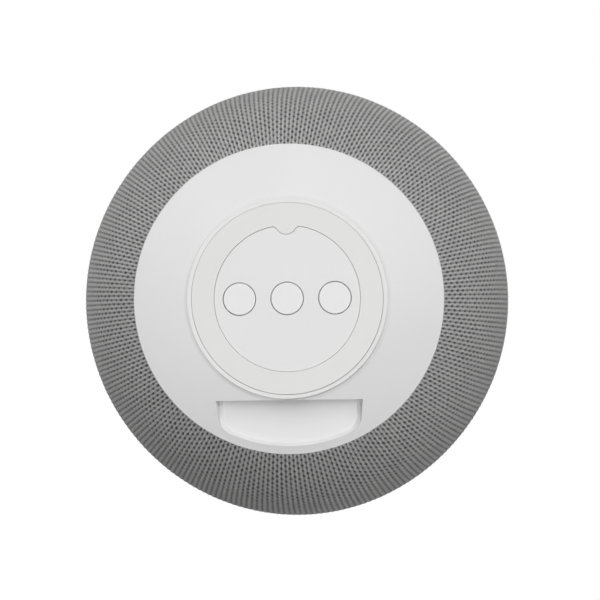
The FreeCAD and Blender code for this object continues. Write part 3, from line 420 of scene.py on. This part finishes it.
def sign(name, ink, button, body, outlines):
    """Raised marks on a button's dome: each outline is given with its height above the dome."""
    low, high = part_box(button)
    middle = ((low.x + high.x) / 2, (low.y + high.y) / 2)
    dome = high.z - BALL_Z
    # The button's highest point is its inner edge or its middle; the dome passes through it.
    reach = max(0.0, math.hypot(*middle) - BUTTON_TOP_RADIUS)
    dome = math.hypot(dome, reach)
    mesh = bpy.data.meshes.new(name)
    points, faces = [], []
    for outline, proud in outlines:
        first, count = len(points), len(outline)
        for height in (-SIGN_ROOT, proud):
            for x, y in outline:
                x, y = middle[0] + x * MM, middle[1] + y * MM
                points.append((x, y, BALL_Z + math.sqrt(dome**2 - x**2 - y**2) + height))
        faces.append(tuple(range(first + count, first + 2 * count)))
        for k in range(count):
            here, after = first + k, first + (k + 1) % count
            faces.append((here, after, after + count, here + count))
        faces.append(tuple(range(first + count - 1, first - 1, -1)))
    mesh.from_pydata(points, [], faces)
    mesh.materials.append(ink)
    mark = bpy.data.objects.new(name, mesh)
    bpy.context.scene.collection.objects.link(mark)
    soften = mark.modifiers.new("soft_edge", "BEVEL")
    soften.width = SIGN_SOFT_EDGE
    soften.segments = 2
    soften.limit_method = "ANGLE"
    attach(mark, body)


def make_signs():
    """Plus, minus, dot and a crossed microphone, drawn in millimetres from each button's middle."""
    ink = moulded("sign_ink", (0.10, 0.10, 0.105), 0.5, 1500.0, 0.005 * MM, 0.1)
    sign("sign_plus", ink, "volume_up_button", "volume_up",
         [(plus_outline(1.7, LINE_HALF), SIGN_PROUD)])
    sign("sign_minus", ink, "volume_down_button", "volume_down",
         [(bar_outline((-1.5, 0), (1.5, 0), LINE_HALF), SIGN_PROUD)])
    sign("sign_dot", ink, "action_button", "action", [(disc_outline(0.75), SIGN_PROUD)])
    sign("sign_microphone", ink, "mic_mute_button", "mic_mute", [
        (bar_outline((0, 0.15), (0, 1.05), 0.52), SIGN_PROUD),
        (cup_outline(1.0, FINE_LINE_HALF), SIGN_PROUD),
        (bar_outline((0, -1.3), (0, -1.7), FINE_LINE_HALF), SIGN_PROUD),
        (bar_outline((-1.5, -1.5), (1.5, 1.7), FINE_LINE_HALF), 2 * SIGN_PROUD),
    ])


# ---------------------------------------------------------------- materials of the CAD nodes


def paint(material, *names):
    for name in names:
        node = NODES[name]
        node.data.materials.clear()
        node.data.materials.append(material)


def grey(shade):
    return (shade, shade, shade)


def paint_nodes():
    """A material for every CAD node: the outside first, then what is inside."""
    paint(moulded("base_plastic", grey(0.80), 0.52, 1100.0, 0.012 * MM, 0.015,
                  Specular_IOR_Level=0.35), "base_cover")
    paint(moulded("plug_plastic", grey(0.80), 0.36, 1400.0, 0.008 * MM, 0.012),
          "plug_left", "plug_centre", "plug_right")
    paint(moulded("foot_silicone", (0.755, 0.755, 0.74), 0.42, 700.0, 0.012 * MM, 0.02),
          "foot_ring")
    paint(moulded("control_plastic", grey(0.80), 0.40, 1100.0, 0.012 * MM, 0.015),
          "control_plate")
    paint(moulded("button_plastic", grey(0.83), 0.32, 1300.0, 0.008 * MM, 0.012),
          "volume_up_button", "volume_down_button", "action_button", "mic_mute_button")
    paint(moulded("light_diffuser", (0.86, 0.88, 0.90), 0.22, 500.0, 0.01 * MM, 0.02,
                  Subsurface_Weight=0.6, Subsurface_Scale=0.003), "light_ring")

    paint(metal("socket_steel", (0.62, 0.62, 0.60), 0.28, (40, 1, 1)), "usb_socket")
    paint(contact_material(), "usb_tongue")
    paint(laminate("board_laminate"), "usb_board", "top_board", "main_board", "antennas")
    paint(metal("screw_steel", (0.58, 0.58, 0.59), 0.35, (1, 1, 12)), "base_screws",
          "usb_board_screws", "top_screws", "enclosure_screws", "driver_screws", "board_screws")
    paint(moulded("frame_plastic", (0.045, 0.045, 0.05), 0.55, 700.0, 0.03 * MM, 0.12),
          "chassis", "grille_frame", "top_frame", "enclosure_front", "enclosure_rear",
          "driver_terminals", "board_connectors", "button_switches")
    paint(moulded("basket_paint", grey(0.03), 0.35, 500.0, 0.02 * MM, 0.1), "driver_basket")
    paint(moulded("magnet_ferrite", (0.07, 0.07, 0.075), 0.7, 600.0, 0.04 * MM, 0.2),
          "driver_magnet")
    paint(metal("pole_steel", (0.52, 0.52, 0.51), 0.3, (12, 12, 1)), "driver_top_plate",
          "driver_yoke")
    paint(metal("coil_copper", (0.72, 0.36, 0.18), 0.3, (1, 60, 1)), "voice_coil")
    paint(moulded("cone_paper", grey(0.08), 0.8, 400.0, 0.05 * MM, 0.15), "speaker_cone",
          "dust_cap", "coil_former")
    paint(moulded("spider_cloth", (0.42, 0.30, 0.13), 0.85, 500.0, 0.05 * MM, 0.2), "spider")
    paint(moulded("seal_rubber", grey(0.02), 0.6, 500.0, 0.02 * MM, 0.15), "surround",
          "driver_gasket", "enclosure_gasket", "wire_grommet", "thermal_pad")
    paint(metal("can_steel", (0.72, 0.72, 0.70), 0.25, (8, 8, 8)), "shield_cans")
    paint(moulded("part_ceramic", (0.72, 0.68, 0.48), 0.4, 900.0), "leds", "microphones")
    paint(metal("capacitor_can", (0.80, 0.80, 0.81), 0.3, (1, 20, 1)), "capacitors")
    paint(metal("sink_aluminium", (0.78, 0.78, 0.79), 0.4, (1, 1, 30)), "heat_spreader")
    paint(moulded("lead_jacket", grey(0.025), 0.5, 600.0, 0.02 * MM, 0.1), "speaker_leads",
          "power_lead", "ribbon_cable")
    for node in NODES.values():
        node.data.shade_smooth()


# ---------------------------------------------------------------- camera, floor, light


def aim(thing, towards, up):
    """Turn a camera or lamp to look along towards with its own Y near up."""
    back = -towards.normalized()
    right = up.cross(back).normalized()
    over = back.cross(right)
    thing.matrix_world = Matrix((
        (right.x, over.x, back.x, thing.location.x),
        (right.y, over.y, back.y, thing.location.y),
        (right.z, over.z, back.z, thing.location.z),
        (0, 0, 0, 1),
    ))


def camera_axes():
    """Right and up of the picture: +X is right and the ball's front is up, less a slight roll."""
    flat_right = (Vector((1, 0, 0)) - CAMERA_SIDE * CAMERA_SIDE.x).normalized()
    flat_up = CAMERA_SIDE.cross(flat_right)
    right = flat_right * math.cos(CAMERA_ROLL) - flat_up * math.sin(CAMERA_ROLL)
    up = flat_up * math.cos(CAMERA_ROLL) + flat_right * math.sin(CAMERA_ROLL)
    return right, up


def make_camera():
    data = bpy.data.cameras.new("camera")
    data.lens = CAMERA_LENS
    data.sensor_width = SENSOR_WIDTH
    data.clip_start = CAMERA_CLIP
    camera = bpy.data.objects.new("camera", data)
    bpy.context.scene.collection.objects.link(camera)
    right, up = camera_axes()
    camera.location = CENTRE + CAMERA_SIDE * CAMERA_DISTANCE
    target = CENTRE + (right * IMAGE_SHIFT[0] + up * IMAGE_SHIFT[1]) * CAMERA_DISTANCE
    aim(camera, target - camera.location, up)
    bpy.context.scene.camera = camera


def lamp(name, direction, distance, size, watts):
    """A round soft lamp that faces the ball."""
    data = bpy.data.lights.new(name, "AREA")
    data.shape = "DISK"
    data.size = size
    data.energy = watts
    lamp_object = bpy.data.objects.new(name, data)
    bpy.context.scene.collection.objects.link(lamp_object)
    lamp_object.location = CENTRE + direction.normalized() * distance
    aim(lamp_object, CENTRE - lamp_object.location, LAMP_UP)


def make_lights():
    right, up = camera_axes()

    def from_side(degrees):
        """The direction in the picture, anticlockwise from its right."""
        turn = math.radians(degrees)
        return right * math.cos(turn) + up * math.sin(turn)

    # Three soft lamps below, where the picture is taken from.
    lamp("key_below", CAMERA_SIDE + from_side(40) * 0.85, 1.2, 1.0, 5.6)
    lamp("front_below", CAMERA_SIDE, 1.3, 1.2, 8.3)
    lamp("side_below", CAMERA_SIDE * 0.38 + from_side(147), 1.2, 1.0, 5.1)
    # Three above the floor, for every view from the side or the top.
    lamp("key_above", Vector((0.5, -0.55, 1.3)), 1.3, 0.8, 11.0)
    lamp("fill_above", Vector((-0.8, -0.3, 1.0)), 1.4, 1.2, 4.0)
    lamp("back_above", Vector((0.1, 0.8, 1.0)), 1.4, 1.0, 5.0)


def make_world():
    """Dim even light from all round, and a white background for the camera."""
    world = bpy.data.worlds.new("studio")
    bpy.context.scene.world = world
    world.use_nodes = True
    tree = world.node_tree
    soft = tree.nodes["Background"]
    soft.inputs["Color"].default_value = (1, 1, 1, 1)
    soft.inputs["Strength"].default_value = AMBIENT
    plain = add(tree, "ShaderNodeBackground")
    plain.inputs["Color"].default_value = (1, 1, 1, 1)
    plain.inputs["Strength"].default_value = BACKDROP
    rays = add(tree, "ShaderNodeLightPath")
    mix = add(tree, "ShaderNodeMixShader")
    tree.links.new(rays.outputs["Is Camera Ray"], mix.inputs[0])
    tree.links.new(soft.outputs[0], mix.inputs[1])
    tree.links.new(plain.outputs[0], mix.inputs[2])
    tree.links.new(mix.outputs[0], tree.nodes["World Output"].inputs["Surface"])


def floor_material():
    """Pale paint on the upper side only, because the picture is taken from underneath."""
    material, tree, shader = new_material("floor_paint")
    speckle = noise(tree, 14.0, 3.0)
    tree.links.new(blend_colours(tree, speckle, grey(0.80), grey(0.84)),
                   shader.inputs["Base Color"])
    tree.links.new(smooth(tree, speckle, 0.3, 0.7, 0.6, 0.75), shader.inputs["Roughness"])
    place = add(tree, "ShaderNodeNewGeometry")
    # Far from the lamps the floor glows a little instead, so that it stays pale all the way.
    distance = add(tree, "ShaderNodeVectorMath", operation="LENGTH")
    tree.links.new(place.outputs["Position"], distance.inputs[0])
    shader.inputs["Emission Color"].default_value = (1.0, 1.0, 1.0, 1.0)
    tree.links.new(smooth(tree, distance.outputs["Value"], *GLOW_SPAN, 0.0, GLOW),
                   shader.inputs["Emission Strength"])
    clear = add(tree, "ShaderNodeBsdfTransparent")
    mix = add(tree, "ShaderNodeMixShader")
    tree.links.new(place.outputs["Backfacing"], mix.inputs[0])
    tree.links.new(shader.outputs[0], mix.inputs[1])
    tree.links.new(clear.outputs[0], mix.inputs[2])
    tree.links.new(mix.outputs[0], tree.nodes["Material Output"].inputs["Surface"])
    return material


def make_floor():
    """A square floor that catches shadows but neither shades nor lights the object."""
    corners = [(x * FLOOR_HALF, y * FLOOR_HALF, 0) for x, y in ((-1, -1), (1, -1), (1, 1), (-1, 1))]
    mesh = bpy.data.meshes.new("floor")
    mesh.from_pydata(corners, [], [(0, 1, 2, 3)])
    mesh.materials.append(floor_material())
    floor = bpy.data.objects.new("floor", mesh)
    bpy.context.scene.collection.objects.link(floor)
    floor.location.z = -FLOOR_DROP
    floor.visible_shadow = False
    floor.visible_diffuse = False
    floor.visible_glossy = False


# ---------------------------------------------------------------- build

make_camera()
make_world()
make_lights()
make_floor()
paint_nodes()
make_sleeve()
make_signs()
bpy.context.scene.view_settings.view_transform = "Standard"

bpy.context.view_layer.update()
